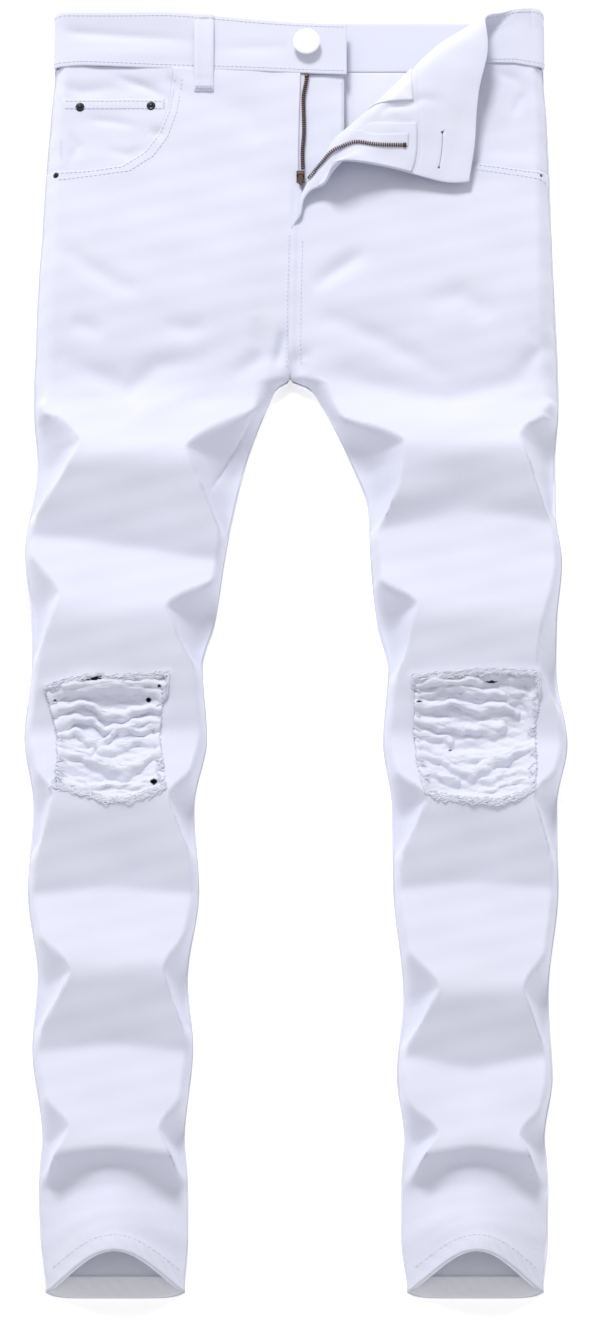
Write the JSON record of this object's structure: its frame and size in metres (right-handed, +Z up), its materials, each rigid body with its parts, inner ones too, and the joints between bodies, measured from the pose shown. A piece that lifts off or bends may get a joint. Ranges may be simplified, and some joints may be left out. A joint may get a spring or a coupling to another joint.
{
  "type": "ripped jeans",
  "caption": "White skinny jeans with ripped knees, laid flat with the fly open and one front corner folded out.",
  "frame": {"origin": "on the surface the jeans lie on, under the middle of their box", "axes": "+X to the wearer's left, +Y from the hems to the waist, +Z up out of the front"},
  "size_m": [0.4082, 0.9966, 0.0447],
  "materials": {
    "denim": "white stretch denim twill, soft and matt",
    "inside": "wrong side of the white denim",
    "bag": "plain white pocketing and zip tape",
    "weft": "bare white weft threads, frayed",
    "brass": "dark antique brass",
    "rivet": "dark gunmetal, satin",
    "button": "white gloss enamel"
  },
  "bodies": {
    "garment": {"front_right": "denim", "front_left": "denim", "back_right": "inside", "back_left": "inside", "waistband": "denim", "belt_loop": "denim", "fly_shield": "denim", "fly_facing": "inside", "pocket_facing_right": "denim", "pocket_facing_left": "denim", "coin_pocket": "denim", "pocket_bag_left": "bag", "knee_weft_right": "weft", "knee_weft_left": "weft", "hem_turn_back_right": "inside", "hem_turn_back_left": "inside", "hem_turn_front_right": "inside", "hem_turn_front_left": "inside", "zip_tape_right": "bag", "zip_tape_left": "bag", "zip_teeth_right": "brass", "zip_teeth_left": "brass", "zip_slider": "brass", "button": "button", "coin_rivet_outer": "rivet", "coin_rivet_inner": "rivet", "side_rivet_right": "rivet", "side_rivet_left": "rivet"},
    "pull_tab": {"pull_tab": "brass"}
  },
  "joints": [
    {"name": "pull_tab_hinge", "type": "hinge", "parent": "garment", "child": "pull_tab", "pos_m": [0.0041, 0.36535, 0.01863], "axis": [-1, 0, 0], "range_deg": [0, 150]}
  ]
}
